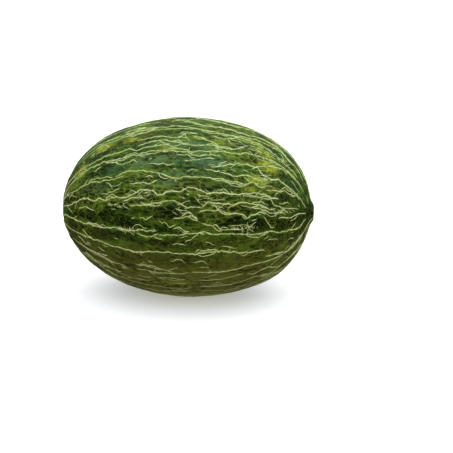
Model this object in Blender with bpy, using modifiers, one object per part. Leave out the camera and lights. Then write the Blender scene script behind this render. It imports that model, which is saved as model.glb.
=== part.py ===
"""A whole melon of the long, netted, green-skinned kind, lying on its side.

The fruit grew as one piece, so it is one solid: a turned body whose axis lies
along X, with the rounded blossom end at -X and the stem end, a low nub with
the round scar of the stem, at +X. It rests on the small flat spot that it
grew where it lay on the ground. The origin is the middle of that spot.

Units are metres, with +Z up.
"""

import math

import bpy

# Overall sizes.
LENGTH = 0.250                  # from the blossom end to the tip of the nub
DIAMETER = 0.179                # across the middle, the widest place

# Fullness of each half of the outline: 2 is an ellipse, more is squarer.
BLOSSOM_FULLNESS = 1.97
STEM_FULLNESS = 2.12

# The round scar where the stem was, a shallow dish on top of a low nub.
STEM_SCAR_RADIUS = 0.0055
STEM_SCAR_DEPTH = 0.0010
NUB_HEIGHT = 0.0040             # how far it stands out from the body's curve
NUB_SLOPE = 0.0050              # from the scar's edge to where it is half as high

# The scar that the flower left, a shallow dish in the middle of the other end.
BLOSSOM_SCAR_RADIUS = 0.0060
BLOSSOM_SCAR_DEPTH = 0.0008

# The flat spot underneath: how much of the round body it takes off.
GROUND_SPOT_DEPTH = 0.0015

# How finely the shape is divided.
TURN_STEPS = 64
RINGS_PER_HALF = 18
RINGS_ON_NUB = 6
MERGE_DISTANCE = 0.00001

RIND_GREEN = (0.061, 0.091, 0.022, 1.0)
RIND_ROUGHNESS = 0.38

RADIUS = DIAMETER / 2
NUB_REACH = 3 * NUB_SLOPE       # beyond this the nub is too low to need more rings


def curve_height(radius, scar_radius, fullness, half_length):
    """Distance along the axis from the widest place to the outline at this radius.

    The curve starts at the scar's edge, so the scar lies across a flat end.
    """
    share = max(radius - scar_radius, 0.0) / (RADIUS - scar_radius)
    return half_length * (1 - share ** fullness) ** (1 / fullness)


def curve_radii(first_radius, scar_radius, fullness):
    """Radii from the first one out to the widest place, spaced evenly round the curve."""
    first_share = (first_radius - scar_radius) / (RADIUS - scar_radius)
    first_angle = math.acos(first_share ** (fullness / 2))
    radii = []
    for ring in range(RINGS_PER_HALF + 1):
        angle = first_angle * (1 - ring / RINGS_PER_HALF)
        share = math.cos(angle) ** (2 / fullness)
        radii.append(scar_radius + (RADIUS - scar_radius) * share)
    return radii


def dish_depth(radius, scar_radius, depth):
    """Depth of a scar's shallow dish, which ends at the scar's edge."""
    return depth * max(1 - (radius / scar_radius) ** 2, 0.0)


def nub_height(radius):
    """How far the nub stands out from the body's curve at this radius."""
    down_the_slope = max(radius - STEM_SCAR_RADIUS, 0.0) / NUB_SLOPE
    return NUB_HEIGHT / (1 + down_the_slope ** 3)


def stem_half():
    """(radius, height) points from the middle of the stem scar to the widest place."""
    radii = [0.0, STEM_SCAR_RADIUS / 2]
    for ring in range(RINGS_ON_NUB):
        radii.append(STEM_SCAR_RADIUS + NUB_REACH * ring / RINGS_ON_NUB)
    radii += curve_radii(STEM_SCAR_RADIUS + NUB_REACH, STEM_SCAR_RADIUS, STEM_FULLNESS)
    half_length = LENGTH / 2 - NUB_HEIGHT
    points = []
    for radius in radii:
        height = curve_height(radius, STEM_SCAR_RADIUS, STEM_FULLNESS, half_length)
        dish = dish_depth(radius, STEM_SCAR_RADIUS, STEM_SCAR_DEPTH)
        points.append((radius, height + nub_height(radius) - dish))
    return points


def blossom_half():
    """(radius, height) points from just past the widest place to the blossom scar."""
    radii = [0.0, BLOSSOM_SCAR_RADIUS / 2]
    radii += curve_radii(BLOSSOM_SCAR_RADIUS, BLOSSOM_SCAR_RADIUS, BLOSSOM_FULLNESS)
    points = []
    for radius in reversed(radii[:-1]):
        height = curve_height(radius, BLOSSOM_SCAR_RADIUS, BLOSSOM_FULLNESS, LENGTH / 2)
        dish = dish_depth(radius, BLOSSOM_SCAR_RADIUS, BLOSSOM_SCAR_DEPTH)
        points.append((radius, dish - height))
    return points


def profile_mesh(points):
    """An open chain of edges in the XZ plane."""
    mesh = bpy.data.meshes.new("melon_profile")
    vertices = [(radius, 0.0, height) for radius, height in points]
    edges = [(index, index + 1) for index in range(len(points) - 1)]
    mesh.from_pydata(vertices, edges, [])
    return mesh


def rind_material():
    material = bpy.data.materials.new("melon_rind")
    material.use_nodes = True
    shader = material.node_tree.nodes["Principled BSDF"]
    shader.inputs["Base Color"].default_value = RIND_GREEN
    shader.inputs["Roughness"].default_value = RIND_ROUGHNESS
    shader.inputs["Metallic"].default_value = 0.0
    material.diffuse_color = RIND_GREEN
    return material


def turned_melon(collection):
    """The round melon, turned about its own Z, laid along X with its foot below z = 0."""
    melon = bpy.data.objects.new("melon", profile_mesh(stem_half() + blossom_half()))
    collection.objects.link(melon)
    melon.data.materials.append(rind_material())

    turn = melon.modifiers.new("turn", "SCREW")
    turn.axis = "Z"
    turn.angle = math.radians(360)
    turn.steps = TURN_STEPS
    turn.render_steps = TURN_STEPS
    turn.use_merge_vertices = True
    turn.merge_threshold = MERGE_DISTANCE
    turn.use_smooth_shade = True

    melon.rotation_euler = (0.0, math.radians(90), 0.0)
    melon.location = (0.0, 0.0, RADIUS - GROUND_SPOT_DEPTH)
    return melon


def ground_cutter(collection):
    """A block under the whole melon, with its top at z = 0."""
    bpy.ops.mesh.primitive_cube_add(size=1.0, location=(0.0, 0.0, -RADIUS / 2))
    cutter = bpy.context.active_object
    cutter.name = "ground_cutter"
    cutter.scale = (LENGTH, DIAMETER, RADIUS)
    for owner in list(cutter.users_collection):
        owner.objects.unlink(cutter)
    collection.objects.link(cutter)
    cutter.hide_render = True
    cutter.display_type = "WIRE"
    return cutter


def main():
    for old in list(bpy.data.objects):
        bpy.data.objects.remove(old, do_unlink=True)

    parts = bpy.data.collections.new("whole_melon")
    cutters = bpy.data.collections.new("cutters")
    for collection in (parts, cutters):
        bpy.context.scene.collection.children.link(collection)

    melon = turned_melon(parts)
    ground_spot = melon.modifiers.new("ground_spot", "BOOLEAN")
    ground_spot.operation = "DIFFERENCE"
    ground_spot.solver = "EXACT"
    ground_spot.object = ground_cutter(cutters)


main()
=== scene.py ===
"""How the whole melon looks: a fine skin, a raised cork net, and the scars at its two ends.

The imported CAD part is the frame. Its one node, a plain turned solid, is stood
for by the skin, which follows the same outline. Units are metres, with +X from
the blossom end to the stem end, +Z up and the ground at z = 0. A place on the
skin is given by its arc length from the blossom end's pole and by an angle
round the long axis: 0 at the top, 90 degrees on the side that faces -Y.
"""

import math

import bpy
import numpy as np
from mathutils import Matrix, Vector
from mathutils.kdtree import KDTree


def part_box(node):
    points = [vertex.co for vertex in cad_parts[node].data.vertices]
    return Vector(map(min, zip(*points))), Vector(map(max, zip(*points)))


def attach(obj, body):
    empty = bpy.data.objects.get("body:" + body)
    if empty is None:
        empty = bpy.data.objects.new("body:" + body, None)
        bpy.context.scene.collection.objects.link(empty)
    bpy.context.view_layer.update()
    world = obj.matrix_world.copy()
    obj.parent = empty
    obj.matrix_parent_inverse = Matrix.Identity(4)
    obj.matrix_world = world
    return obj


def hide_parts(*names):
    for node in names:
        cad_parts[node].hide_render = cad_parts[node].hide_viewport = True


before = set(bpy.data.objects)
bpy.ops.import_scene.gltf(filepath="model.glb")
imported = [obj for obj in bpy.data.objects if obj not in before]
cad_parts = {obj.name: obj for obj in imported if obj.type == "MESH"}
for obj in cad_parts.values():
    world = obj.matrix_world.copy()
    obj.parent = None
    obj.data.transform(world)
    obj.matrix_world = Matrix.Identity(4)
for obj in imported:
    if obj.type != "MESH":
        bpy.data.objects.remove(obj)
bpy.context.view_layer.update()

MM = 0.001
TURN = 2 * math.pi
RELIEF_SEED, NET_SEED, RIDGE_SEED, PATCH_SEED = 11, 29, 5, 17
STEM_SCAR_SEED, BLOSSOM_SCAR_SEED = 3, 4

# ---------------------------------------------------------------- the outline

low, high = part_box("melon")
LENGTH = high.x - low.x
RADIUS = (high.y - low.y) / 2
AXIS_HEIGHT = high.z - RADIUS

# The outline's own values, as in the CAD part.
BLOSSOM_FULLNESS, STEM_FULLNESS = 1.97, 2.12
BLOSSOM_SCAR_RADIUS, BLOSSOM_SCAR_DEPTH = 6.0 * MM, 0.8 * MM
STEM_SCAR_RADIUS, STEM_SCAR_DEPTH = 5.5 * MM, 1.0 * MM
NUB_HEIGHT, NUB_SLOPE = 4.0 * MM, 5.0 * MM

DISH_POINTS, CURVE_POINTS = 60, 900     # of the outline as first drawn, at each end
OUTLINE_STEP = 0.1 * MM
OUTLINE_SOFTNESS = 0.6 * MM     # rounds the rims of the scars


def half_outline(scar_radius, scar_depth, fullness, nub_height):
    """Distance along the axis from the middle, and radius, from the pole to the widest place."""
    dish = np.linspace(0, scar_radius, DISH_POINTS, endpoint=False)
    angles = np.linspace(math.pi / 2, 0, CURVE_POINTS)
    curve = scar_radius + (RADIUS - scar_radius) * np.cos(angles) ** (2 / fullness)
    radii = np.concatenate([dish, curve])
    past_scar = np.clip(radii - scar_radius, 0, None)
    share = np.clip(past_scar / (RADIUS - scar_radius), 0, 1)
    along = (LENGTH / 2 - nub_height) * (1 - share ** fullness) ** (1 / fullness)
    along += nub_height / (1 + (past_scar / NUB_SLOPE) ** 3)
    along -= scar_depth * np.clip(1 - (radii / scar_radius) ** 2, 0, None)
    return along, radii


def softened(values, odd):
    """values rounded off along the outline, which goes on mirrored past each pole."""
    reach = int(4 * OUTLINE_SOFTNESS / OUTLINE_STEP)
    sign = -1 if odd else 1
    before, after = sign * values[reach:0:-1], sign * values[-2:-reach - 2:-1]
    offsets = np.arange(-reach, reach + 1) * OUTLINE_STEP
    weights = np.exp(-0.5 * (offsets / OUTLINE_SOFTNESS) ** 2)
    padded = np.concatenate([before, values, after])
    return np.convolve(padded, weights / weights.sum(), mode="valid")


def whole_outline():
    """Arc length, place along X, radius, and outward direction (along X, across), pole to pole."""
    blossom_along, blossom_radii = half_outline(
        BLOSSOM_SCAR_RADIUS, BLOSSOM_SCAR_DEPTH, BLOSSOM_FULLNESS, 0.0)
    stem_along, stem_radii = half_outline(
        STEM_SCAR_RADIUS, STEM_SCAR_DEPTH, STEM_FULLNESS, NUB_HEIGHT)
    x = np.concatenate([-blossom_along, stem_along[-2::-1]])
    radius = np.concatenate([blossom_radii, stem_radii[-2::-1]])
    arc = np.concatenate([[0], np.cumsum(np.hypot(np.diff(x), np.diff(radius)))])
    even = np.linspace(0, arc[-1], int(arc[-1] / OUTLINE_STEP) + 1)
    x = softened(np.interp(even, arc, x), odd=False)
    radius = softened(np.interp(even, arc, radius), odd=True)
    radius[0] = radius[-1] = 0.0
    along, out = np.gradient(x), np.gradient(radius)
    size = np.hypot(along, out)
    return even, x, radius, -out / size, along / size


ARC, OUTLINE_X, OUTLINE_RADIUS, OUT_ALONG, OUT_ACROSS = whole_outline()
ARC_END = ARC[-1]


def radius_at(arc, least=0.0):
    """The plain surface's radius at each arc length, but never less than least."""
    return np.maximum(np.interp(arc, ARC, OUTLINE_RADIUS), least)


def smooth_surface(arc, theta):
    """Points of the plain turned surface, and its outward normals."""
    around = np.stack([np.zeros_like(theta), -np.sin(theta), np.cos(theta)], axis=-1)
    points = around * radius_at(arc)[..., None]
    points[..., 0] += np.interp(arc, ARC, OUTLINE_X)
    points[..., 2] += AXIS_HEIGHT
    normals = around * np.interp(arc, ARC, OUT_ACROSS)[..., None]
    normals[..., 0] += np.interp(arc, ARC, OUT_ALONG)
    return points, normals


# ----------------------------------------------------------------- the relief

def smoothstep(value, start, end):
    share = np.clip((value - start) / (end - start), 0, 1)
    return share * share * (3 - 2 * share)


def wave_field(rng, wavelength, count=28):
    """A smooth random field of mean 0 and deviation 1: plane waves of about one length."""
    directions = rng.normal(size=(count, 3))
    directions /= np.linalg.norm(directions, axis=1, keepdims=True)
    lengths = wavelength * rng.uniform(0.7, 1.4, (count, 1))
    vectors = directions * TURN / lengths
    phases = rng.uniform(0, TURN, count)

    def field(points):
        return np.sin(points @ vectors.T + phases).sum(axis=-1) * math.sqrt(2 / count)

    return field


# The skin's unevenness from coarse to fine, each kind with its height.
relief_rng = np.random.default_rng(RELIEF_SEED)
LUMPS, LUMP_HEIGHT = wave_field(relief_rng, 85 * MM), 0.50 * MM
SWELLS, SWELL_HEIGHT = wave_field(relief_rng, 26 * MM), 0.11 * MM
PUCKERS, PUCKER_HEIGHT = wave_field(relief_rng, 7 * MM), 0.045 * MM
GRAIN, GRAIN_HEIGHT = wave_field(relief_rng, 3.6 * MM), 0.02 * MM
RIB_COUNT, RIB_HEIGHT = 10, 0.50 * MM
RELIEF_DROP = 0.45 * MM         # keeps the swellings about level with the plain surface
GROUND_SOFTNESS = 0.5 * MM      # how gently the flat spot turns into the round body


def relief(points):
    """Height of the skin over the plain turned surface, without the net."""
    across = np.hypot(points[..., 1], points[..., 2] - AXIS_HEIGHT) / RADIUS
    theta = np.arctan2(-points[..., 1], points[..., 2] - AXIS_HEIGHT)
    ribs = np.cos(RIB_COUNT * theta + 0.8 * LUMPS(points)) * across ** 2
    fading = smoothstep(across, 0.08, 0.4)
    height = LUMP_HEIGHT * LUMPS(points) * fading + RIB_HEIGHT * ribs - RELIEF_DROP * across
    height += (SWELL_HEIGHT * SWELLS(points) + PUCKER_HEIGHT * PUCKERS(points)) * fading
    return height + GRAIN_HEIGHT * GRAIN(points)


def on_ground(points):
    """The points, kept above the ground with a soft flat where the melon lay."""
    raised = points.copy()
    z = points[..., 2]
    raised[..., 2] = 0.5 * (z + np.sqrt(z * z + GROUND_SOFTNESS ** 2))
    return raised


# -------------------------------------------------------------------- the net

VEIN_COUNT = 48                 # veins round the whole fruit, if they all ran its length
STRAND_STEP = 0.8 * MM
SHORTEST_STRAND = 2.2 * MM
FAINTEST_VEIN = 0.22            # a vein breaks off where its strength is less
FAINT_HEIGHT, BOLD_HEIGHT = 15 * MM, 62 * MM    # strands thin out from the second down to the first
SPOT_LOW, SPOT_TOP = 4 * MM, 12 * MM    # and again between these, round the flat spot
COURSE_STEP = 0.5 * MM          # between the points of a strand as first drawn
SHORTEST_PART = 8               # in such steps: a vein's parts are longer
LONG_VEIN = 14                  # in points: veins with companions or twigs are longer

net_rng = np.random.default_rng(NET_SEED)
DRIFT = wave_field(net_rng, 110 * MM)
JAGGED = wave_field(net_rng, 70 * MM)
STRENGTH = wave_field(net_rng, 38 * MM)
# Each strand is a triple of arrays: arc length, angle and strength.
veins, threads = [], []         # the long thick strands, and the short fine ones


def add_strand(kind, arc, theta, strength):
    """Keeps a strand, with even steps along it, fainter on the fruit's underside."""
    points, _ = smooth_surface(arc, theta)
    run = np.concatenate([[0], np.cumsum(np.linalg.norm(np.diff(points, axis=0), axis=1))])
    if run[-1] < SHORTEST_STRAND:
        return
    even = np.linspace(0, run[-1], max(int(run[-1] / STRAND_STEP), 3) + 1)
    height = np.interp(even, run, points[:, 2])
    clear = smoothstep(height, SPOT_LOW, SPOT_TOP)
    bold = smoothstep(height, FAINT_HEIGHT, BOLD_HEIGHT)
    strength = np.interp(even, run, strength) * (0.25 + 0.75 * clear) * (0.6 + 0.4 * bold)
    kind.append((np.interp(even, run, arc), np.interp(even, run, theta), strength))


def zigzag(rng, run, knot_gap, size):
    """A jagged line over the places run: straight between knots set at uneven gaps."""
    knots = [run[0]]
    while knots[-1] < run[-1]:
        knots.append(knots[-1] + knot_gap * rng.uniform(0.5, 1.6))
    return np.interp(run, knots, rng.uniform(-size, size, len(knots)))


def wander(rng, run, wavelength, size):
    """A smooth random line over the places run."""
    total = np.zeros_like(run)
    for _ in range(4):
        length = wavelength * rng.uniform(0.6, 1.6)
        total += np.sin(TURN * run / length + rng.uniform(0, TURN))
    return total * size / 2


def jagged(rng, run):
    """The small kinks that every strand has, long and short, a little rounded."""
    line = zigzag(rng, run, 4.6 * MM, 0.85 * MM) + zigzag(rng, run, 2.3 * MM, 0.65 * MM)
    step = abs(run[-1] - run[0]) / (len(run) - 1)
    reach = max(int(1.0 * MM / step), 1)
    weights = np.hanning(2 * reach + 3)[1:-1]
    return np.convolve(np.pad(line, reach, "edge"), weights / weights.sum(), mode="valid")


def arc_at_x(x):
    return np.interp(x, OUTLINE_X, ARC)


# The main strands on the side towards the camera, each with its strength and
# then its course: places along X in mm, with their angles in degrees.
FRONT_STRANDS = (
    (0.9, (-108, 26), (-95, 20), (-60, 17), (-25, 15), (0, 14), (25, 17), (45, 18), (70, 13),
     (95, 10), (112, 12)),
    (0.7, (-96, 27), (-78, 22), (-56, 20), (-30, 18), (-10, 17), (10, 17)),
    (0.5, (-2, 22), (15, 21)),
    (0.7, (12, 24), (20, 25), (24, 27), (34, 29), (40, 32)),
    (0.8, (30, 22), (41, 23), (50, 20), (57, 18), (68, 18), (75, 17), (82, 19), (89, 21),
     (98, 24), (110, 24)),
    (0.6, (-42, 28), (-27, 26), (-11, 26), (6, 26)),
    (0.9, (-40, 33), (-20, 29), (-13, 30), (-3, 31), (7, 33), (16, 33), (25, 32), (33, 31),
     (38, 33), (50, 32), (61, 28)),
    (0.9, (-121, 62), (-112, 44), (-104, 42), (-94, 40), (-85, 39), (-78, 38), (-68, 36),
     (-55, 36), (-49, 34), (-40, 37), (-31, 35), (-20, 35), (-10, 34), (-4, 36)),
    (0.9, (-119, 64), (-108, 50), (-98, 45), (-87, 43), (-75, 42), (-62, 42), (-42, 41),
     (-33, 42), (-20, 40), (-8, 38), (0, 37), (13, 39), (33, 37), (44, 36), (58, 35),
     (62, 33), (72, 32), (84, 31), (96, 30), (106, 31), (116, 38)),
    (0.6, (-68, 44), (-60, 44), (-58, 46), (-48, 46), (-42, 44), (-37, 46)),
    (0.7, (-1, 41), (8, 42), (16, 42), (30, 40), (42, 40)),
    (0.7, (8, 46), (13, 45), (20, 44), (28, 43), (36, 42)),
    (0.7, (-26, 48), (-12, 48), (-7, 49), (-1, 48)),
    (0.9, (33, 48), (39, 48), (45, 46), (50, 45), (60, 43), (75, 42), (78, 46), (87, 49),
     (94, 46), (97, 48), (106, 50), (114, 56)),
    (0.8, (70, 44), (76, 41), (87, 37), (95, 33), (100, 32), (104, 33), (112, 32)),
    (0.8, (27, 50), (38, 51), (46, 51), (56, 53), (61, 51), (69, 51), (76, 52)),
    (0.5, (12, 53), (16, 51), (22, 52)),
    (0.9, (-58, 55), (-50, 53), (-39, 52), (-22, 53), (-11, 55), (-2, 58), (11, 57), (17, 57),
     (28, 56), (43, 56), (54, 57), (65, 57), (73, 55), (76, 57), (83, 58)),
    (0.8, (-120, 70), (-112, 66), (-101, 62), (-96, 60), (-88, 58), (-80, 57), (-72, 58),
     (-64, 57), (-50, 56)),
    (0.5, (-28, 57), (-24, 56), (-19, 57)),
    (0.7, (-42, 61), (-36, 61), (-30, 60), (-22, 61), (-15, 59)),
    (0.9, (84, 59), (89, 58), (97, 57), (100, 54), (104, 57), (110, 55), (115, 56), (119, 66)),
    (0.6, (-72, 67), (-63, 67)),
    (1.0, (-121, 84), (-116, 79), (-108, 77), (-100, 74), (-92, 70), (-85, 70), (-78, 73),
     (-73, 71), (-66, 73), (-60, 70), (-44, 70), (-37, 67), (-31, 65), (-19, 65), (-14, 68),
     (-9, 68), (-6, 66), (8, 66), (14, 63), (22, 64), (32, 66), (46, 65), (60, 65), (64, 64),
     (75, 63), (83, 63), (88, 65), (95, 64)),
    (0.8, (-48, 72), (-42, 71), (-36, 70), (-31, 69), (-26, 70)),
    (0.6, (22, 67), (28, 68), (34, 68)),
    (0.7, (-97, 79), (-88, 78), (-78, 80)),
    (0.9, (-41, 75), (-34, 75), (-22, 74), (-8, 72), (1, 71), (11, 74), (20, 75), (27, 75),
     (33, 71), (40, 72), (57, 72), (63, 70), (75, 71), (82, 72), (88, 74)),
    (0.6, (-30, 73), (-22, 74), (-14, 73)),
    (0.8, (78, 70), (80, 67), (88, 66), (91, 70), (98, 72), (106, 72), (113, 71)),
    (0.8, (70, 73), (79, 74), (84, 75), (88, 77), (98, 76), (102, 73)),
    (0.5, (3, 76), (9, 77)),
    (0.9, (25, 77), (33, 76), (42, 76), (46, 78), (58, 78), (65, 79), (69, 81), (72, 78),
     (79, 77), (85, 78)),
    (0.8, (96, 82), (101, 81), (107, 82), (113, 78), (119, 79)),
    (0.6, (-39, 83), (-36, 83)),
    (0.7, (-31, 82), (-26, 83), (-18, 81)),
    (0.7, (1, 82), (7, 81), (13, 80), (19, 82), (24, 83)),
    (0.6, (-13, 83), (-9, 85), (-7, 84), (-2, 87), (4, 85)),
    (0.7, (1, 88), (7, 87), (11, 89), (17, 90)),
    (0.7, (28, 84), (33, 85), (38, 86), (43, 89), (47, 88), (56, 88), (66, 88)),
    (0.9, (-121, 100), (-115, 92), (-106, 91), (-99, 92), (-90, 92), (-80, 92), (-73, 92),
     (-66, 91), (-54, 91), (-40, 91), (-30, 90), (-15, 90)),
    (0.9, (-34, 92), (-30, 93), (-20, 94), (-14, 92), (-3, 92), (12, 91), (20, 90), (29, 90),
     (38, 91), (55, 91), (62, 92), (78, 93), (86, 92), (92, 93), (97, 96), (105, 96),
     (114, 100), (119, 92)),
    (0.9, (-122, 116), (-115, 109), (-109, 107), (-101, 105), (-90, 105), (-82, 104), (-75, 103),
     (-68, 104), (-60, 105), (-38, 105), (-10, 103), (14, 104), (40, 102), (60, 105), (84, 108)),
    (0.5, (-108, 122), (-92, 119), (-76, 117), (-60, 119), (-45, 120)),
    (0.5, (-96, 132), (-78, 128), (-60, 130), (-42, 131), (-24, 129)),
)
FRONT_FIRST, FRONT_LAST = 12, 114       # degrees between which no random vein is shown


def calm_near_poles(arc):
    """1 over most of the fruit, and less towards the poles, where strands run straighter."""
    return np.minimum(radius_at(arc) / (70 * MM), 1) ** 1.5


def add_front_strands(rng):
    for strength, *course in FRONT_STRANDS:
        x, degrees = np.array(course, float).T
        corners = arc_at_x(x * MM)
        arc = np.arange(corners[0], corners[-1], COURSE_STEP)
        theta = np.interp(arc, corners, np.radians(degrees))
        points, _ = smooth_surface(arc, theta)
        theta += 0.95 * jagged(rng, arc) * calm_near_poles(arc) / radius_at(arc, 12 * MM)
        level = strength * np.clip(0.92 + 0.16 * STRENGTH(points), 0.6, 1.15)
        add_strand(veins, arc, theta, level)


# For each level of vein: the radius where it ends near a pole, and its strength.
VEIN_ENDS = (52 * MM, 27 * MM, 14 * MM, 8 * MM)
VEIN_STRENGTHS = (0.56, 0.70, 0.78, 0.84)


def vein_level(index):
    """0 for every second vein, 1 for every fourth, and so on; the highest reach the poles."""
    for level, step in enumerate((2, 4, 8)):
        if index % step:
            return level
    return 3


def arc_where(radius, stem_end):
    """Arc length where the outline has this radius, in the stem or the blossom half."""
    half = len(ARC) // 2
    if stem_end:
        return np.interp(-radius, -OUTLINE_RADIUS[half:], ARC[half:])
    return np.interp(radius, OUTLINE_RADIUS[:half], ARC[:half])


def vein_pulls(rng):
    """For each vein, where it is drawn to the next one: (arc length, reach) pairs."""
    pulls = []
    for _ in range(VEIN_COUNT):
        places, arc = [], rng.uniform(0, 90 * MM)
        while arc < ARC_END:
            places.append((arc, rng.uniform(10, 24) * MM))
            arc += rng.uniform(60, 170) * MM
        pulls.append(places)
    return pulls


def pull_between(arc, places):
    """0 to 1: how near its neighbour a vein is drawn at each arc length."""
    drawn = np.zeros_like(arc)
    for place, reach in places:
        drawn = np.maximum(drawn, np.clip(1 - np.abs(arc - place) / reach, 0, 1) ** 1.2)
    return drawn


def make_courses(rng):
    """The veins' courses from end to end: [arc, theta, strength, start, end] for each."""
    arc = np.arange(0, ARC_END, COURSE_STEP)
    spacing = TURN / VEIN_COUNT
    roots = (np.arange(VEIN_COUNT) + rng.uniform(-0.25, 0.25, VEIN_COUNT)) * spacing
    pulls = vein_pulls(rng)
    radius = radius_at(arc, 10 * MM)
    calm = calm_near_poles(arc)
    courses = []
    for index, root in enumerate(roots):
        points, _ = smooth_surface(arc, np.full_like(arc, root))
        rough = np.clip(0.8 + 0.4 * JAGGED(points), 0.3, 1.4) * calm
        side = 2.2 * MM * DRIFT(points) * calm
        side += wander(rng, arc, 60 * MM, 0.9 * MM) * calm + jagged(rng, arc) * rough
        towards_next = pull_between(arc, pulls[index])
        towards_last = pull_between(arc, pulls[index - 1])
        gap = 0.45 * spacing * (towards_next - towards_last)
        theta = root + side / radius + gap
        level = vein_level(index)
        strength = VEIN_STRENGTHS[level] + 0.30 * STRENGTH(points)
        strength += wander(rng, arc, 45 * MM, 0.22)
        strength = np.maximum(strength, 0.55 * np.maximum(towards_next, towards_last))
        start = arc_where(VEIN_ENDS[level] * rng.uniform(0.8, 1.25), stem_end=False)
        end = arc_where(VEIN_ENDS[level] * rng.uniform(0.8, 1.25), stem_end=True)
        strength[(arc < start) | (arc > end)] = 0
        courses.append([arc, theta, np.clip(strength, 0, 1.1), start, end])
    return courses


def join_ends(courses):
    """Bends each vein that stops short of a pole into a neighbour that goes on."""
    for index, course in enumerate(courses):
        level = vein_level(index)
        if level == 3:
            continue
        arc, theta, _, start, end = course
        partner = courses[(index + 2 ** level) % VEIN_COUNT]
        turn = round((theta.mean() - partner[1].mean()) / TURN) * TURN
        for stop, towards in ((start, -1), (end, 1)):
            share = smoothstep((arc - stop) * towards, -16 * MM, 0.0)
            course[1] = course[1] * (1 - share) + (partner[1] + turn) * share


def in_front(theta):
    """Whether angles lie where the front strands stand in for the random veins."""
    degrees = np.degrees(theta) % 360
    return (degrees > FRONT_FIRST) & (degrees < FRONT_LAST)


def add_courses(courses):
    """Cuts each vein into the strands where it is strong enough to show."""
    for arc, theta, strength, *_ in courses:
        shown = (strength > FAINTEST_VEIN) & ~in_front(theta)
        edges = np.flatnonzero(np.diff(np.concatenate([[False], shown, [False]]).astype(int)))
        for first, last in zip(edges[::2], edges[1::2]):
            if last - first > SHORTEST_PART:
                part = slice(first, last)
                add_strand(veins, arc[part], theta[part], strength[part])


def chosen_veins(rng, count):
    """So many veins picked at random, the longer ones more often."""
    long_veins = [vein for vein in veins if len(vein[0]) > LONG_VEIN]
    lengths = np.array([len(vein[0]) for vein in long_veins], float)
    picks = rng.choice(len(lengths), size=count, p=lengths / lengths.sum())
    return [long_veins[pick] for pick in picks]


def add_companions(rng, count):
    """Short second lines that bow away from a vein and come back to it."""
    for arc, theta, _ in chosen_veins(rng, count):
        steps = int(min(rng.uniform(10, 48), len(arc)))
        begin = rng.integers(0, len(arc) - steps + 1)
        run = np.arange(steps) * STRAND_STEP
        part = slice(begin, begin + steps)
        bow = np.maximum(np.sin(math.pi * run / run[-1]), 0) ** 0.6
        away = rng.choice([-1, 1]) * rng.uniform(1.6, 3.8) * MM * bow + jagged(rng, run)
        radius = radius_at(arc[part], 12 * MM)
        calm = np.minimum(radius / (60 * MM), 1)
        level = rng.uniform(0.35, 0.75)
        add_strand(threads, arc[part], theta[part] + away * calm / radius, np.full(steps, level))


def add_line(rng, arc, theta, direction, length, strength, kink=1.0):
    """A short jagged strand from a place, in a direction measured from the +X line."""
    run = np.linspace(0, length, max(int(length / COURSE_STEP), 4))
    heading = direction + wander(rng, run, 24 * MM, 0.16)
    off = kink * jagged(rng, run) * np.minimum(run / (1.5 * MM), 1)
    along = run * np.cos(heading) - off * math.sin(direction)
    side = run * np.sin(heading) + off * math.cos(direction)
    places = np.clip(arc + along, 3 * MM, ARC_END - 3 * MM)
    theta = theta + side / radius_at(places, 12 * MM)
    add_strand(threads, places, theta, np.full_like(run, strength))


def add_twigs(rng, count, shortest, longest, steepest):
    """Stubs that leave a vein to one side, at up to the steepest angle to it."""
    for arc, theta, _ in chosen_veins(rng, count):
        place = rng.integers(len(arc))
        direction = rng.choice([-1, 1]) * rng.uniform(0.35, steepest)
        if rng.random() < 0.5:
            direction = math.pi - direction
        length = rng.uniform(shortest, longest)
        add_line(rng, arc[place], theta[place], direction, length, rng.uniform(0.3, 0.65))


def add_dashes(rng, count):
    """Loose short strands between the veins, mostly along the fruit."""
    for _ in range(count):
        arc = rng.uniform(22 * MM, ARC_END - 22 * MM)
        if rng.random() > radius_at(arc) / RADIUS:
            continue
        direction = rng.normal(0, 0.25)
        length = rng.uniform(3, 16) * MM
        add_line(rng, arc, rng.uniform(0, TURN), direction, length, rng.uniform(0.05, 0.5))


def add_hatching(rng, x, degrees, length, width, gap):
    """A fine little net: close, short strokes across the fruit, and three lines along it."""
    arc, theta = arc_at_x(x * MM), math.radians(degrees)
    length, width, gap = length * MM, width * MM, gap * MM
    place = arc - length / 2
    while place < arc + length / 2:
        share = (place - arc) / length + 0.5
        reach = width * (0.3 + 0.7 * math.sin(math.pi * share)) * rng.uniform(0.6, 1.0)
        direction = 1.1 + 0.7 * share + rng.normal(0, 0.35)
        start = theta - reach * rng.uniform(0.3, 0.7) / radius_at(place)
        add_line(rng, place, start, direction, reach, rng.uniform(0.0, 0.2), kink=0.9)
        place += gap * rng.uniform(0.6, 1.5)
    for side in (-0.3, 0.0, 0.3):
        start = arc - length * rng.uniform(0.4, 0.6)
        beside = theta + side * width / radius_at(arc)
        run = length * rng.uniform(0.7, 1.1)
        add_line(rng, start, beside, rng.normal(0, 0.08), run, rng.uniform(0.0, 0.3))


def add_scribbles(rng, x, degrees, length, width, count):
    """Faint short strokes, mostly along the fruit, where the net is too fine to follow."""
    for _ in range(count):
        arc = arc_at_x((x + rng.normal(0, length / 2.5)) * MM)
        theta = math.radians(degrees) + rng.normal(0, width / 2.5) * MM / RADIUS
        direction = rng.normal(0, 0.35)
        add_line(rng, arc, theta, direction, rng.uniform(3, 9) * MM, rng.uniform(0.05, 0.35))


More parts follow.
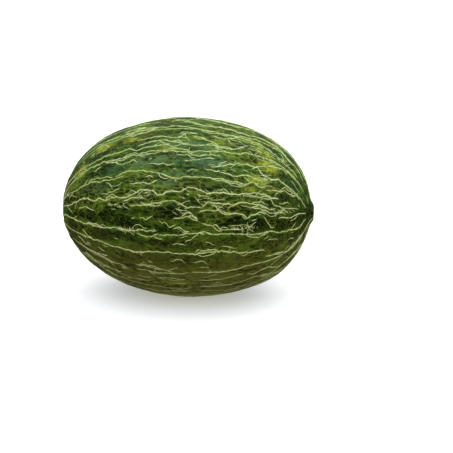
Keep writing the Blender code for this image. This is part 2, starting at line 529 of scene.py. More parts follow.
# Finely netted patches: place along X in mm, angle in degrees, length and width in
# mm, then for the hatched ones the gap between strokes, for the others their number.
HATCHED_PATCHES = (
    (-44, 91, 26, 7, 1.8), (-88, 112, 8, 5, 2.2), (66, 88, 26, 11, 1.9),
    (-50, 122, 8, 4, 2.0), (-15, 152, 20, 7, 2.4), (35, 215, 24, 8, 2.4), (-52, 262, 20, 9, 2.4),
    (72, 300, 16, 8, 2.2), (5, 318, 14, 7, 2.2),
)
SCRIBBLED_PATCHES = (
    (74, 30, 16, 14, 26), (76, 50, 18, 10, 20), (26, 69, 22, 8, 20), (-32, 68, 14, 6, 14),
    (-58, 75, 16, 6, 16), (36, 46, 12, 8, 10), (88, 20, 20, 10, 18), (98, 74, 12, 12, 10),
    (4, 77, 12, 8, 8), (-88, 30, 16, 8, 8), (-60, 200, 24, 14, 24), (60, 150, 26, 14, 26),
    (30, 250, 30, 16, 26), (-20, 300, 30, 12, 22), (80, 330, 24, 16, 22),
    (-80, 330, 20, 12, 14), (85, 230, 18, 14, 18),
)


def make_net():
    add_front_strands(net_rng)
    courses = make_courses(net_rng)
    join_ends(courses)
    add_courses(courses)
    add_companions(net_rng, count=170)
    add_twigs(net_rng, count=130, shortest=2 * MM, longest=5 * MM, steepest=1.5)
    add_twigs(net_rng, count=90, shortest=7 * MM, longest=16 * MM, steepest=0.8)
    add_dashes(net_rng, count=330)
    for patch in HATCHED_PATCHES:
        add_hatching(net_rng, *patch)
    for patch in SCRIBBLED_PATCHES:
        add_scribbles(net_rng, *patch)


make_net()


# --------------------------------------------- where the net lies on the skin

def net_tree():
    """A tree of every strand's points on the plain surface, and their strengths."""
    places = [smooth_surface(arc, theta)[0] for arc, theta, _ in veins + threads]
    points = np.concatenate(places)
    tree = KDTree(len(points))
    for index, point in enumerate(points):
        tree.insert(point, index)
    tree.balance()
    return tree, np.concatenate([strength for _, _, strength in veins + threads])


NET_TREE, NET_STRENGTH = net_tree()
BANK_HEIGHT, BANK_WIDTH = 0.26 * MM, 1.9 * MM       # of the skin's rise under each strand
HALO_WIDTH = 2.7 * MM           # of the paler green beside it


def near_net(points):
    """For each point, its distance to the nearest strand and that strand's strength."""
    flat = points.reshape(-1, 3)
    found = [NET_TREE.find(point)[1:] for point in flat]
    index = np.array([item[0] for item in found])
    distance = np.array([item[1] for item in found])
    return distance.reshape(points.shape[:-1]), NET_STRENGTH[index].reshape(points.shape[:-1])


def skin_height(points):
    """Height of the skin over the plain surface, and how strongly the net tints it."""
    distance, strength = near_net(points)
    bank = BANK_HEIGHT * strength * np.exp(-(distance / BANK_WIDTH) ** 2)
    halo = strength * np.exp(-(distance / HALO_WIDTH) ** 2)
    return relief(points) + bank, halo


# ----------------------------------------------------------------- the meshes

def add_attribute(mesh, name, values):
    attribute = mesh.attributes.new(name, "FLOAT", "POINT")
    attribute.data.foreach_set("value", np.asarray(values, np.float32))


def add_uv(mesh, uv):
    """uv holds one (u, v) for each corner, in the order of the mesh's loops."""
    layer = mesh.uv_layers.new(name="OFBake")
    layer.data.foreach_set("uv", np.asarray(uv, np.float32).ravel())


def in_scene(name, data):
    """A new object in the scene."""
    made = bpy.data.objects.new(name, data)
    bpy.context.scene.collection.objects.link(made)
    return made


def new_piece(name, points, faces, material):
    """A smooth mesh that rides with the fruit."""
    mesh = bpy.data.meshes.new(name)
    mesh.from_pydata(points.tolist(), [], faces)
    mesh.shade_smooth()
    mesh.materials.append(material)
    piece = in_scene(name, mesh)
    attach(piece, "root")
    return piece


SKIN_EDGE = 1.24 * MM           # size of the skin's faces over most of the fruit
FINE_EDGE = 0.6 * MM            # and round the scars
FINE_RADIUS = 24 * MM           # the faces grow from fine to full size out to here
MOST_AROUND = 480               # faces round the widest place, 15 times a power of two


def ring_places():
    """Arc lengths of the skin's rings, close near the poles."""
    def edge(arc):
        return FINE_EDGE + (SKIN_EDGE - FINE_EDGE) * smoothstep(radius_at(arc), 0, FINE_RADIUS)

    places = [0.5 * FINE_EDGE]
    while places[-1] < ARC_END:
        places.append(places[-1] + float(edge(places[-1])))
    stretch = (ARC_END - 0.5 * FINE_EDGE) / places[-1]
    return np.array(places) * stretch


def ring_count(arc):
    """Vertices in a ring: halved towards the poles, down to 15, so that faces stay even."""
    count = MOST_AROUND
    full = TURN * RADIUS / MOST_AROUND
    fine = smoothstep(radius_at(arc), 0, FINE_RADIUS)
    wanted = full * (0.45 + 0.55 * fine)
    while count % 2 == 0 and TURN * radius_at(arc) / count < 0.72 * wanted:
        count //= 2
    return count


def band_faces(first, first_count, second, second_count):
    """Faces between two rings of equal count, or of which one has twice the other's."""
    faces = []
    if first_count == second_count:
        for i in range(first_count):
            j = (i + 1) % first_count
            faces.append((first + i, first + j, second + j, second + i))
        return faces
    few, many = min(first_count, second_count), max(first_count, second_count)
    coarse, fine = (first, second) if first_count < second_count else (second, first)
    for i in range(few):
        a, b = coarse + i, coarse + (i + 1) % few
        c, d, e = (fine + (2 * i + k) % many for k in range(3))
        made = [(a, d, c), (a, b, d), (b, e, d)]
        if coarse == second:
            made = [face[::-1] for face in made]
        faces += made
    return faces


def make_skin(material):
    """The skin: rings from pole to pole, with the relief and a low bank under each strand."""
    rings = ring_places()
    counts = [ring_count(arc) for arc in rings]
    starts = np.concatenate([[1], 1 + np.cumsum(counts)])
    arc = np.concatenate([[0.0], *[np.full(n, a) for a, n in zip(rings, counts)], [ARC_END]])
    turns = [np.arange(n) * TURN / n + math.pi for n in counts]
    theta = np.concatenate([[0.0], *turns, [0.0]])
    base, normals = smooth_surface(arc, theta)
    height, halo = skin_height(base)
    points = on_ground(base + normals * height[:, None])

    last = len(arc) - 1
    faces = [(0, 1 + (i + 1) % counts[0], 1 + i) for i in range(counts[0])]
    for k in range(len(rings) - 1):
        faces += band_faces(int(starts[k]), counts[k], int(starts[k + 1]), counts[k + 1])
    top, count = int(starts[-2]), counts[-1]
    faces += [(last, top + i, top + (i + 1) % count) for i in range(count)]

    skin = new_piece("melon_skin", points, faces, material)
    add_attribute(skin.data, "halo", halo)
    for kind, table in with_hidden_patches().items():
        add_attribute(skin.data, kind, patch_strength(base, table))
    add_attribute(skin.data, "ground", ground_spot(base))
    unroll(skin.data, arc, theta, last)
    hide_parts("melon")


def unroll(mesh, arc, theta, last):
    """A map of the skin unrolled from a cut along the bottom: length by turn."""
    corners = np.zeros(len(mesh.loops), np.int32)
    mesh.loops.foreach_get("vertex_index", corners)
    firsts = np.zeros(len(mesh.polygons), np.int32)
    mesh.polygons.foreach_get("loop_start", firsts)
    sizes = np.diff(np.append(firsts, len(corners)))
    turn = ((theta[corners] - math.pi) / TURN) % 1
    face_of = np.repeat(np.arange(len(sizes)), sizes)
    high_turn = np.zeros(len(sizes))
    at_pole = (corners == 0) | (corners == last)
    np.maximum.at(high_turn, face_of, np.where(at_pole, 0, turn))
    crosses = (high_turn[face_of] > 0.75) & (turn < 0.25) & ~at_pole
    turn = turn + crosses
    sums = np.zeros(len(sizes))
    np.add.at(sums, face_of, np.where(at_pole, 0, turn))
    others = sizes - np.bincount(face_of, at_pole, len(sizes))
    turn = np.where(at_pole, (sums / others)[face_of], turn)
    add_uv(mesh, np.stack([0.004 + 0.992 * arc[corners] / ARC_END, 0.004 + 0.992 * turn], 1))


# Patches of each colour, seen from the front: place along X in mm, angle in degrees,
# half length and half width in mm, and strength. The blue ones are partly bluish rind
# and partly a painted sheen over the upper middle.
PATCHES = {
    "yellow": (
        (-76, 25, 9, 6, 1.0), (-50, 25, 10, 4, 0.8), (-98, 42, 10, 8, 0.6), (-106, 56, 8, 8, 0.3),
        (84, 38, 9, 6, 1.0), (36, 27, 7, 4, 0.8), (76, 52, 10, 5, 0.7), (80, 26, 12, 6, 0.7),
        (-14, 37, 20, 4, 0.5), (70, 61, 10, 4, 0.4), (92, 57, 9, 5, 0.5), (66, 18, 16, 4, 0.5),
        (-62, 17, 16, 4, 0.5), (-44, 92, 14, 3, 0.4), (-70, 72, 12, 3, 0.3), (20, 25, 14, 3, 0.4),
    ),
    "brown": (
        (-33, 20, 14, 7, 1.0), (-55, 20, 12, 5, 0.7), (-40, 30, 18, 4, 0.6), (20, 76, 30, 4, 0.6),
        (-12, 84, 22, 4, 0.6), (-70, 120, 50, 16, 0.8), (-25, 104, 40, 8, 0.6),
        (60, 74, 22, 4, 0.6), (-10, 70, 24, 3, 0.4), (60, 120, 50, 16, 0.7), (85, 40, 14, 9, 0.3),
    ),
    # partly bluish rind, and over the upper middle a painted sheen: the overhead light's soft
    # highlight
    "blue": (
        (10, 33, 26, 7, 0.8), (-20, 45, 34, 8, 0.9), (30, 44, 26, 9, 0.9), (5, 55, 34, 5, 0.8),
        (-76, 64, 16, 5, 1.0), (-15, 61, 16, 4, 0.9), (62, 44, 12, 8, 0.35), (55, 27, 10, 8, 0.5),
        (-60, 50, 22, 6, 0.5), (12, 18, 18, 5, 0.6), (-3, 74, 10, 4, 0.5), (102, 44, 8, 10, 0.25),
    ),
    "dark": (
        (62, 80, 34, 5, 1.0), (52, 75, 14, 4, 0.9), (96, 84, 22, 6, 0.9), (-18, 78, 30, 4, 0.9),
        (-84, 84, 40, 6, 0.8), (-76, 65, 18, 5, 0.6), (52, 61, 16, 6, 0.6), (14, 63, 14, 3, 0.7),
        (52, 67, 12, 4, 0.8), (-60, 98, 36, 5, 0.7), (98, 66, 14, 5, 0.6), (92, 102, 20, 6, 0.8),
        (56, 25, 10, 6, 0.6), (-66, 58, 26, 4, 0.5), (40, 84, 26, 4, 0.7), (-25, 66, 20, 3, 0.6),
        (-30, 88, 24, 3, 0.6), (10, 98, 60, 5, 0.7), (-88, 60, 14, 6, 0.4), (84, 47, 12, 3, 0.4),
        (-90, 34, 14, 4, 0.4), (44, 51, 12, 5, 0.4), (112, 78, 10, 8, 0.8), (0, 112, 70, 7, 0.5),
        (121, 90, 5, 14, 0.9), (88, 69, 22, 5, 0.6), (-104, 71, 17, 9, 0.8), (84, 78, 26, 5, 0.7),
        (98, 60, 16, 7, 0.6), (96, 92, 20, 6, 0.6), (-96, 40, 16, 4, 0.4),
    ),
}
HIDDEN_PATCHES = {"yellow": 14, "brown": 14, "blue": 14, "dark": 34}
HIDDEN_FIRST, HIDDEN_LAST = 125, 350    # degrees that the hidden patches cover


def with_hidden_patches():
    """The patches above, and more of each kind on the sides that the front doesn't show."""
    rng = np.random.default_rng(PATCH_SEED)
    tables = {}
    for kind, count in HIDDEN_PATCHES.items():
        hidden = [(rng.uniform(-105, 105), rng.uniform(HIDDEN_FIRST, HIDDEN_LAST),
                   rng.uniform(10, 34), rng.uniform(3, 8), rng.uniform(0.4, 1.0))
                  for _ in range(count)]
        tables[kind] = PATCHES[kind] + tuple(hidden)
    return tables


def patch_strength(points, table):
    """How strongly a colour's patches show at each point, with ragged edges."""
    theta = np.arctan2(-points[:, 1], points[:, 2] - AXIS_HEIGHT)
    radius = np.hypot(points[:, 1], points[:, 2] - AXIS_HEIGHT)
    total = np.zeros(len(points))
    for x, degrees, half_length, half_width, strength in table:
        side = (theta - math.radians(degrees) + math.pi) % TURN - math.pi
        along = (points[:, 0] - x * MM) / (half_length * MM)
        across = side * radius / (half_width * MM)
        total = np.maximum(total, strength * np.exp(-along ** 2 - across ** 2))
    return np.clip(total * (1 + 0.25 * SWELLS(points) + 0.20 * PUCKERS(points)), 0, 1)


PALE_TOP, PALE_REACH = 20 * MM, 52 * MM     # height of the pale spot, and half its length


def ground_spot(points):
    """Where the melon lay on the soil, and stayed pale."""
    near = smoothstep(points[:, 2], PALE_TOP, SPOT_LOW)
    return np.exp(-(points[:, 0] / PALE_REACH) ** 4) * near


# Half the width of a strand, and its height over the swollen skin, at strength 0 and 1.
STRAND_HALF_WIDTH = (0.30 * MM, 0.72 * MM)
STRAND_HEIGHT = (0.18 * MM, 0.46 * MM)
STRAND_SINK = 0.16 * MM         # how deep a strand's edges lie under the skin
STRAND_TAPER = 3.0 * MM         # length over which a strand's ends run out
TIP_STEPS = 0.4                 # how far its tips lie past its ends, in steps
# Sections of a vein and a thread from edge to edge: place across, height over the skin.
VEIN_SECTION = ((-1.0, None), (-0.62, 0.72), (0.0, 1.0), (0.62, 0.72), (1.0, None))
THREAD_SECTION = ((-1.0, None), (-0.4, 1.0), (0.4, 1.0), (1.0, None))


def strand_rows(lengths):
    """Packs the strands into equal rows for the map: each one's (row, start), rows, row length."""
    row_length = max(max(lengths), 330 * MM)
    gap = 2 * MM
    rows, places = [], [None] * len(lengths)
    for index in sorted(range(len(lengths)), key=lambda i: -lengths[i]):
        for row, used in enumerate(rows):
            if used + lengths[index] + gap <= row_length:
                break
        else:
            row = len(rows)
            rows.append(0.0)
        places[index] = (row, rows[row])
        rows[row] += lengths[index] + gap
    return places, len(rows), row_length + gap


def make_strand(arc, theta, strength, section, rng):
    """Places under one strand's section points, the normals there, and its height."""
    count = len(arc)
    base, normals = smooth_surface(arc, theta)
    forward = np.gradient(base, axis=0)
    forward /= np.linalg.norm(forward, axis=1, keepdims=True)
    across = np.cross(forward, normals)
    across /= np.linalg.norm(across, axis=1, keepdims=True)
    run = np.arange(count) * STRAND_STEP
    ends = np.minimum(run, run[::-1])
    taper = smoothstep(ends, -0.8 * MM, min(STRAND_TAPER, run[-1] / 2.2))
    rough = 1 + zigzag(rng, run, 2.2 * MM, 0.30)
    level = np.clip(strength, 0, 1.1)
    half_width = np.interp(level, (0, 1), STRAND_HALF_WIDTH) * rough * (0.25 + 0.75 * taper)
    height = np.interp(level, (0, 1), STRAND_HEIGHT) * rough * taper
    rails = np.array([side for side, _ in section])
    places = base[:, None] + across[:, None] * (rails[None, :, None] * half_width[:, None, None])
    return places, normals, height


def ridge_faces(count, width):
    """One ridge's faces; each corner is its vertex, step and rail, the last two for the map."""
    def corner(step, rail):
        return step * width + rail % width, step, rail

    faces = []
    for step in range(count - 1):
        for rail in range(width):
            faces.append((corner(step, rail), corner(step, rail + 1),
                          corner(step + 1, rail + 1), corner(step + 1, rail)))
    for rail in range(width):
        back = (count * width, -TIP_STEPS, rail + 0.5)
        front = (count * width + 1, count - 1 + TIP_STEPS, rail + 0.5)
        faces.append((corner(0, rail + 1), corner(0, rail), back))
        faces.append((corner(count - 1, rail), corner(count - 1, rail + 1), front))
    return faces


def make_net_piece(name, strands, section, material):
    """Part of the raised net: one closed, tapered ridge of cork for each strand."""
    rng = np.random.default_rng(RIDGE_SEED)
    made = [make_strand(*strand, section, rng) for strand in strands]
    lengths = [(len(strand[0]) - 1) * STRAND_STEP for strand in strands]
    spots, rows, row_length = strand_rows(lengths)
    width = len(section)
    rises = [0.0 if rise is None else rise for _, rise in section]
    sinks = [STRAND_SINK if rise is None else 0.0 for _, rise in section]

    rails = np.concatenate([places for places, _, _ in made])
    normals = np.concatenate([normal for _, normal, _ in made])
    heights = np.concatenate([height for _, _, height in made])
    under, _ = skin_height(rails)
    lift = under + heights[:, None] * np.array(rises) - np.array(sinks)
    points = on_ground(rails + normals[:, None] * lift[..., None])

    vertices, faces, uv, crest, tone = [], [], [], [], []
    first = begun = 0
    for (places, _, _), (row, start) in zip(made, spots):
        count = len(places)
        own = points[begun:begun + count]
        tip_back = own[0].mean(axis=0) + (own[0] - own[1]).mean(axis=0) * TIP_STEPS
        tip_front = own[-1].mean(axis=0) + (own[-1] - own[-2]).mean(axis=0) * TIP_STEPS
        vertices += [own.reshape(-1, 3), tip_back[None], tip_front[None]]
        crest += [np.tile(rises, count), [0.3, 0.3]]
        tone.append(np.full(count * width + 2, rng.uniform(0, 1)))
        for face in ridge_faces(count, width):
            faces.append([first + vertex for vertex, _, _ in face])
            for _, step, rail in face:
                uv.append(((start + 1 * MM + step * STRAND_STEP) / row_length,
                           (row + 0.12 + 0.76 * rail / width) / rows))
        first += count * width + 2
        begun += count

    net = new_piece(name, np.concatenate(vertices), faces, material)
    add_attribute(net.data, "crest", np.concatenate(crest))
    add_attribute(net.data, "tone", np.concatenate(tone))
    add_uv(net.data, uv)


SCAR_RINGS, SCAR_STEPS, SCAR_CRACKS = 26, 96, 9
CRACK_DEPTH, CRACK_NARROWNESS = 0.22 * MM, 90
RIPPLE_HEIGHT, RIPPLES = 0.10 * MM, 16
GRIT_HEIGHT = 0.07 * MM
RIM_SINK, BASE_SINK = 0.5 * MM, 0.9 * MM    # how deep the disc's rim and its base's middle lie


def make_scar(name, stem_end, radius, dome, material):
    """The corky disc in an end's dish: rings and radial cracks in a low dome."""
    rng = np.random.default_rng(STEM_SCAR_SEED if stem_end else BLOSSOM_SCAR_SEED)
    rings, around = SCAR_RINGS, SCAR_STEPS
    ragged = wave_field(rng, 4 * MM)
    fine = wave_field(rng, 1.1 * MM)
    cracks = rng.uniform(0, TURN, SCAR_CRACKS)
    pole = OUTLINE_X[-1] if stem_end else OUTLINE_X[0]
    out = 1.0 if stem_end else -1.0
    vertices, values = [], []
    for ring in range(rings + 1):
        share = ring / rings
        for angle in np.arange(around if ring else 1) * TURN / around:
            flat = np.array([0.0, math.cos(angle), math.sin(angle)])
            edge = radius * (1 + 0.05 * float(ragged(flat * radius)))
            place = flat * edge * share
            aside = [(angle - at + math.pi) % TURN - math.pi for at in cracks]
            crack = max(math.exp(-turn ** 2 * CRACK_NARROWNESS) for turn in aside)
            lift = dome * (1 - share ** 4) + RIPPLE_HEIGHT * math.cos(share * RIPPLES) * share
            lift += GRIT_HEIGHT * float(fine(place)) - CRACK_DEPTH * crack * share * (1 - share)
            lift = lift if ring < rings else -RIM_SINK
            vertices.append((pole + out * lift, place[1], AXIS_HEIGHT + place[2]))
            values.append(1 - crack * share * 0.8)
    base = len(vertices)
    vertices.append((pole - out * BASE_SINK, 0.0, AXIS_HEIGHT))
    values.append(0.5)
    faces = []
    for step in range(around):
        after = (step + 1) % around
        faces.append((0, 1 + step, 1 + after))
        for ring in range(rings - 1):
            a, b = 1 + ring * around, 1 + (ring + 1) * around
            faces.append((a + step, b + step, b + after, a + after))
        rim = 1 + (rings - 1) * around
        faces.append((rim + after, rim + step, base))
    if not stem_end:
        faces = [face[::-1] for face in faces]
    scar = new_piece(name, np.array(vertices), faces, material)
    add_attribute(scar.data, "crest", values)


# -------------------------------------------------------------- the materials

class Nodes:
    """Short ways to add nodes to a material or the world."""

    def __init__(self, owner):
        owner.use_nodes = True
        self.owner = owner
        self.tree = owner.node_tree

    def put(self, socket, value):
        """Links value to a socket if it is a socket itself, or else sets it."""
        if isinstance(value, bpy.types.NodeSocket):
            self.tree.links.new(value, socket)
        else:
            socket.default_value = value

    def add(self, kind, inputs=None, **settings):
        """A new node, with these settings, and these values or links put to its inputs."""
        node = self.tree.nodes.new(kind)
        for name, value in settings.items():
            setattr(node, name, value)
        for name, value in (inputs or {}).items():
            self.put(node.inputs[name], value)
        return node

    def between(self, value, start, end, low=0.0, high=1.0, kind="SMOOTHSTEP"):
        """value taken from the range start..end to low..high."""
        inputs = {"Value": value, "From Min": start, "From Max": end, "To Min": low, "To Max": high}
        return self.add("ShaderNodeMapRange", inputs, interpolation_type=kind).outputs["Result"]


class Material(Nodes):
    """A Principled material and short ways to add textures to it."""

    def __init__(self, name):
        super().__init__(bpy.data.materials.new(name))
        self.shader = self.tree.nodes["Principled BSDF"]
        self.places = self.add("ShaderNodeTexCoord").outputs["Object"]

    def set(self, name, value):
        """Sets or links one of the shader's own inputs."""
        self.put(self.shader.inputs[name], value)

    def math(self, operation, a, b):
        return self.add("ShaderNodeMath", {0: a, 1: b}, operation=operation).outputs[0]

    def mix(self, share, a, b):
        """Colour a, with this share of colour b."""
        return self.add("ShaderNodeMix", {0: share, 6: a, 7: b}, data_type="RGBA").outputs[2]

    def attribute(self, name):
        return self.add("ShaderNodeAttribute", attribute_name=name).outputs["Fac"]

    def height_over_ground(self):
        return self.add("ShaderNodeSeparateXYZ", {0: self.places}).outputs["Z"]

    def stretched(self, scale):
        """The object's coordinates, scaled along each axis."""
        return self.add("ShaderNodeMapping", {"Vector": self.places, "Scale": scale}).outputs[0]

    def noise(self, size, detail, roughness, places=None):
        """Noise with features of about this size in metres, from 0 to 1."""
        inputs = {"Vector": places or self.places, "Scale": 1 / size}
        inputs.update({"Detail": detail, "Roughness": roughness})
        return self.add("ShaderNodeTexNoise", inputs).outputs["Fac"]

    def crazing(self, size, width):
        """Thin wavering lines round cells of about this size, 1 on the lines; width is a share."""
        waver = self.add("ShaderNodeTexNoise", {"Vector": self.places, "Scale": 1 / size})
        bend = {0: waver.outputs["Color"], 1: (0.6 * size,) * 3, 2: self.stretched((0.3, 1.0, 1.0))}
        bent = self.add("ShaderNodeVectorMath", bend, operation="MULTIPLY_ADD").outputs[0]
        inputs = {"Vector": bent, "Scale": 1 / size}
        cells = self.add("ShaderNodeTexVoronoi", inputs, feature="DISTANCE_TO_EDGE")
        return self.between(cells.outputs["Distance"], width, 0.0)

    def bump(self, height, distance, strength, normal=None):
        """A normal roughened by this height, over another bump's normal if one is given."""
        inputs = {"Height": height, "Distance": distance, "Strength": strength}
        if normal:
            inputs["Normal"] = normal
        return self.add("ShaderNodeBump", inputs).outputs["Normal"]


def rgb(red, green, blue):
    """A colour given as it looks on a screen, from 0 to 255, as the shader needs it."""
    def linear(value):
        value /= 255
        return value / 12.92 if value <= 0.04045 else ((value + 0.055) / 1.055) ** 2.4
    return (linear(red), linear(green), linear(blue), 1.0)


def skin_material():
    """Deep green rind: streaked, mottled near-black, finely crazed, with patches of other hues; its
    bluish patches are partly a painted sheen.
    """
    n = Material("melon_rind")
    along = n.stretched((0.45, 1.0, 1.0))
    streaked = n.stretched((0.16, 1.0, 1.0))
    broad = n.noise(46 * MM, 2.0, 0.5, along)
    hue = n.noise(30 * MM, 2.0, 0.5, along)
    streaks = n.noise(7 * MM, 3.0, 0.55, streaked)
    middle = n.noise(12 * MM, 3.0, 0.6, along)
    fine = n.noise(3.2 * MM, 4.0, 0.66, n.stretched((0.6, 1.0, 1.0)))
    speck = n.noise(1.7 * MM, 3.0, 0.65)

    def patch(kind, most, full=0.85):
        """How much of a patch's colour shows: at most this much, and ragged."""
        ragged = n.between(middle, 0.34, 0.58, 0.65, 1.0)
        return n.math("MULTIPLY", n.between(n.attribute(kind), 0.08, full, 0.0, most), ragged)

    green = n.mix(n.between(broad, 0.38, 0.60), rgb(20, 45, 3), rgb(47, 77, 9))
    green = n.mix(n.between(hue, 0.52, 0.64, 0.0, 0.6), green, rgb(64, 64, 12))
    green = n.mix(n.between(hue, 0.48, 0.38, 0.0, 0.6), green, rgb(16, 58, 18))
    green = n.mix(n.between(streaks, 0.48, 0.62, 0.0, 0.7), green, rgb(86, 118, 26))
    # painted sheen: the blue patches lay a lighter bluish green over the upper middle, besides some
    # bluish rind
    green = n.mix(patch("blue", 0.85), green, rgb(80, 112, 80))
    green = n.mix(patch("brown", 0.8), green, rgb(82, 70, 20))
    dark = n.math("MULTIPLY", n.between(fine, 0.45, 0.58), n.between(middle, 0.58, 0.42, 0.3, 0.95))
    green = n.mix(dark, green, rgb(10, 20, 1))
    green = n.mix(n.between(streaks, 0.47, 0.36, 0.0, 0.8), green, rgb(8, 22, 4))
    green = n.mix(patch("dark", 0.9, 0.6), green, n.mix(fine, rgb(5, 9, 2), rgb(18, 25, 5)))
    green = n.mix(n.between(speck, 0.54, 0.68, 0.0, 0.45), green, rgb(118, 140, 44))

    olive = n.between(n.height_over_ground(), 95 * MM, 25 * MM, 0.0, 0.75)
    green = n.mix(olive, green, n.mix(dark, rgb(124, 120, 44), rgb(60, 60, 16)))

    yellow = n.mix(n.between(fine, 0.40, 0.62), rgb(160, 166, 28), rgb(98, 100, 14))
    green = n.mix(patch("yellow", 0.85), green, yellow)
    green = n.mix(n.attribute("ground"), green, rgb(158, 150, 62))

    halo = n.between(n.attribute("halo"), 0.15, 1.0, 0.0, 0.65)
    halo = n.math("MULTIPLY", halo, n.between(fine, 0.30, 0.62, 1.0, 0.4))
    green = n.mix(halo, green, rgb(106, 132, 34))

    crazing = n.crazing(4.2 * MM, 0.10)
    crazing = n.math("MULTIPLY", crazing, n.between(hue, 0.44, 0.60, 0.2, 0.6))
    high_up = n.between(n.height_over_ground(), 55 * MM, 125 * MM, 0.45, 1.0)
    crazing = n.math("MULTIPLY", crazing, high_up)
    green = n.mix(crazing, green, rgb(126, 148, 50))
    lime = n.math("MULTIPLY", n.crazing(2.6 * MM, 0.12), patch("yellow", 0.7))
    green = n.mix(lime, green, rgb(186, 206, 70))

    n.set("Base Color", green)
    n.set("Roughness", n.between(middle, 0.30, 0.70, 0.32, 0.46))
    n.set("Specular IOR Level", 0.065)
    skin_bump = n.bump(fine, 0.30 * MM, 0.5)
    skin_bump = n.bump(crazing, 0.15 * MM, 0.6, skin_bump)
    n.set("Normal", n.bump(speck, 0.10 * MM, 0.5, skin_bump))
    return n.owner


def cork_material():
    """The net's dry, pale cork: greener up high with a painted reflection of the overhead light,
    creamier low down, cracked on its crest.
    """
    n = Material("melon_cork")
    fine = n.noise(2.6 * MM, 4.0, 0.62)
    fibres = n.noise(0.8 * MM, 3.0, 0.6, n.stretched((0.35, 1.0, 1.0)))
    fissures = n.math("MULTIPLY", n.crazing(1.5 * MM, 0.14), n.between(fine, 0.42, 0.60, 0.2, 0.9))
    height = n.height_over_ground()
    cream = n.mix(n.attribute("tone"), rgb(204, 212, 138), rgb(228, 234, 172))
    # painted reflection: up high the cork turns greener, as if lit by the light from above
    top_sheen_cork = n.mix(n.attribute("tone"), rgb(188, 214, 136), rgb(220, 238, 180))
    cork = n.mix(n.between(height, 95 * MM, 160 * MM), cream, top_sheen_cork)
    cork = n.mix(n.between(fine, 0.46, 0.72), cork, rgb(166, 174, 104))
    cork = n.mix(n.between(fibres, 0.54, 0.70, 0.0, 0.5), cork, rgb(112, 118, 60))
    edge = n.between(n.attribute("crest"), 0.70, 0.15, 0.0, 0.8)
    cork = n.mix(edge, cork, rgb(112, 134, 52))
    low = n.between(height, 70 * MM, 8 * MM, 0.0, 0.6)
    cork = n.mix(low, cork, rgb(140, 134, 80))
    cork = n.mix(n.math("MULTIPLY", fissures, 0.7), cork, rgb(120, 122, 66))
    n.set("Base Color", cork)
    n.set("Roughness", n.between(fine, 0.30, 0.70, 0.62, 0.82))
    n.set("Specular IOR Level", 0.06)
    rough = n.bump(fibres, 0.20 * MM, 0.8)
    n.set("Normal", n.bump(n.math("SUBTRACT", 1.0, fissures), 0.20 * MM, 0.8, rough))
    return n.owner


def scar_material():
    """Dry brown cork, dark in its cracks."""
    n = Material("melon_scar")
    fine = n.noise(1.6 * MM, 4.0, 0.65)
    dust = n.noise(0.5 * MM, 2.0, 0.6)
    brown = n.mix(n.between(fine, 0.36, 0.64), rgb(160, 136, 84), rgb(108, 84, 44))
    brown = n.mix(n.between(dust, 0.50, 0.70, 0.0, 0.5), brown, rgb(188, 168, 116))
    brown = n.mix(n.between(n.attribute("crest"), 0.95, 0.35), brown, rgb(46, 36, 22))
    n.set("Base Color", brown)
    n.set("Roughness", n.between(fine, 0.30, 0.70, 0.70, 0.92))
    n.set("Normal", n.bump(dust, 0.10 * MM, 0.6))
    return n.owner


def floor_material():
    """A plain white table, lit a little from within so that shadows on it stay pale."""
    n = Material("pale_table")
    shade = n.noise(0.4, 2.0, 0.5)
    n.set("Base Color", n.mix(shade, rgb(241, 241, 242), rgb(243, 243, 243)))
    n.set("Roughness", 0.9)
    n.set("Specular IOR Level", 0.1)
    n.set("Emission Color", (0.94, 0.96, 1.0, 1.0))
    n.set("Emission Strength", 0.32)
    return n.owner


make_skin(skin_material())
cork = cork_material()
make_net_piece("melon_net_veins", veins, VEIN_SECTION, cork)
make_net_piece("melon_net_threads", threads, THREAD_SECTION, cork)
brown_cork = scar_material()
make_scar("melon_stem_scar", True, 5.0 * MM, 0.55 * MM, brown_cork)
make_scar("melon_blossom_scar", False, 5.2 * MM, 0.30 * MM, brown_cork)


# ------------------------------------------------- the floor, light and camera

def make_floor():
    mesh = bpy.data.meshes.new("studio_floor")
    reach = 20.0
    corners = [(-reach, -reach, 0), (reach, -reach, 0), (reach, reach, 0), (-reach, reach, 0)]
    mesh.from_pydata(corners, [], [(0, 1, 2, 3)])
    mesh.materials.append(floor_material())
    floor = in_scene("studio_floor", mesh)
    floor.visible_diffuse = False       # its own light stays off the dark underside,
    floor.visible_glossy = False        # and out of the rind's reflections


SUN_ENERGY, SUN_ANGLE = 2.7, 110        # the lamp, and how many degrees of sky it fills
ROOM_IN_FRONT, ROOM_BEHIND = 0.40, 1.25 # the room's light before and behind the melon
GLOSS_BELOW, GLOSS_ABOVE = 0.04, 0.7    # the light that the rind reflects, from low and high


def make_lamp():
    """A very broad soft light overhead."""
    sun = bpy.data.lights.new("overhead_light", "SUN")
    sun.energy = SUN_ENERGY
    sun.angle = math.radians(SUN_ANGLE)
    sun.color = (0.97, 0.99, 1.0)
    overhead = in_scene("overhead_light", sun)
    overhead.rotation_euler = (math.radians(14), math.radians(10), 0)


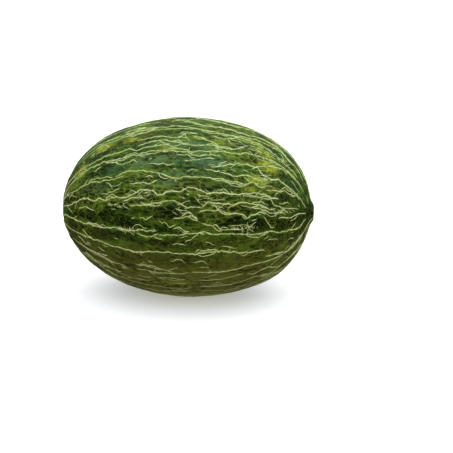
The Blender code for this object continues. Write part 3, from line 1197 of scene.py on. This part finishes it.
def make_room():
    """A pale room, brighter behind the melon, dark below in reflections and white as a backdrop."""
    world = bpy.data.worlds.new("studio")
    n = Nodes(world)
    direction = n.add("ShaderNodeTexCoord").outputs["Generated"]
    parts = n.add("ShaderNodeSeparateXYZ", {0: direction})
    path = n.add("ShaderNodeLightPath")

    def background(color, strength):
        return n.add("ShaderNodeBackground", {"Color": color, "Strength": strength}).outputs[0]

    def either(share, a, b):
        return n.add("ShaderNodeMixShader", {0: share, 1: a, 2: b}).outputs[0]

    backward = n.between(parts.outputs["Y"], 0.0, 0.9, ROOM_IN_FRONT, ROOM_BEHIND)
    upward = n.between(parts.outputs["Z"], -0.1, 0.6, GLOSS_BELOW, GLOSS_ABOVE, "LINEAR")
    room = background((0.95, 0.97, 1.0, 1.0), backward)
    reflected = background((0.90, 0.96, 1.0, 1.0), upward)
    backdrop = background((1.0, 1.0, 1.0, 1.0), 1.0)
    lit = either(path.outputs["Is Glossy Ray"], room, reflected)
    seen = either(path.outputs["Is Camera Ray"], lit, backdrop)
    n.put(n.tree.nodes["World Output"].inputs["Surface"], seen)
    bpy.context.scene.world = world


LENS, SENSOR = 85.0, 36.0       # in millimetres
PICTURE_SPAN = 0.453            # what the picture spans at the melon's distance
CAMERA_AZIMUTH, CAMERA_ELEVATION = 8.0, 16.0
# How far the melon's middle lies left of and above the picture's middle.
MELON_LEFT, MELON_ABOVE = 0.038, 0.019


def make_camera():
    data = bpy.data.cameras.new("camera")
    data.lens, data.sensor_width = LENS, SENSOR
    camera = in_scene("camera", data)
    azimuth, elevation = math.radians(CAMERA_AZIMUTH), math.radians(CAMERA_ELEVATION)
    back = Vector((math.sin(azimuth) * math.cos(elevation),
                   -math.cos(azimuth) * math.cos(elevation), math.sin(elevation)))
    right = Vector((math.cos(azimuth), math.sin(azimuth), 0.0))
    up = back.cross(right)
    middle = Vector((0.0, 0.0, AXIS_HEIGHT))
    distance = PICTURE_SPAN / 2 / (SENSOR / 2 / LENS)
    camera.location = middle + back * distance + right * MELON_LEFT - up * MELON_ABOVE
    camera.rotation_mode = "QUATERNION"
    camera.rotation_quaternion = (-back).to_track_quat("-Z", "Y")
    bpy.context.scene.camera = camera


make_floor()
make_lamp()
make_room()
make_camera()
bpy.context.scene.view_settings.view_transform = "Standard"
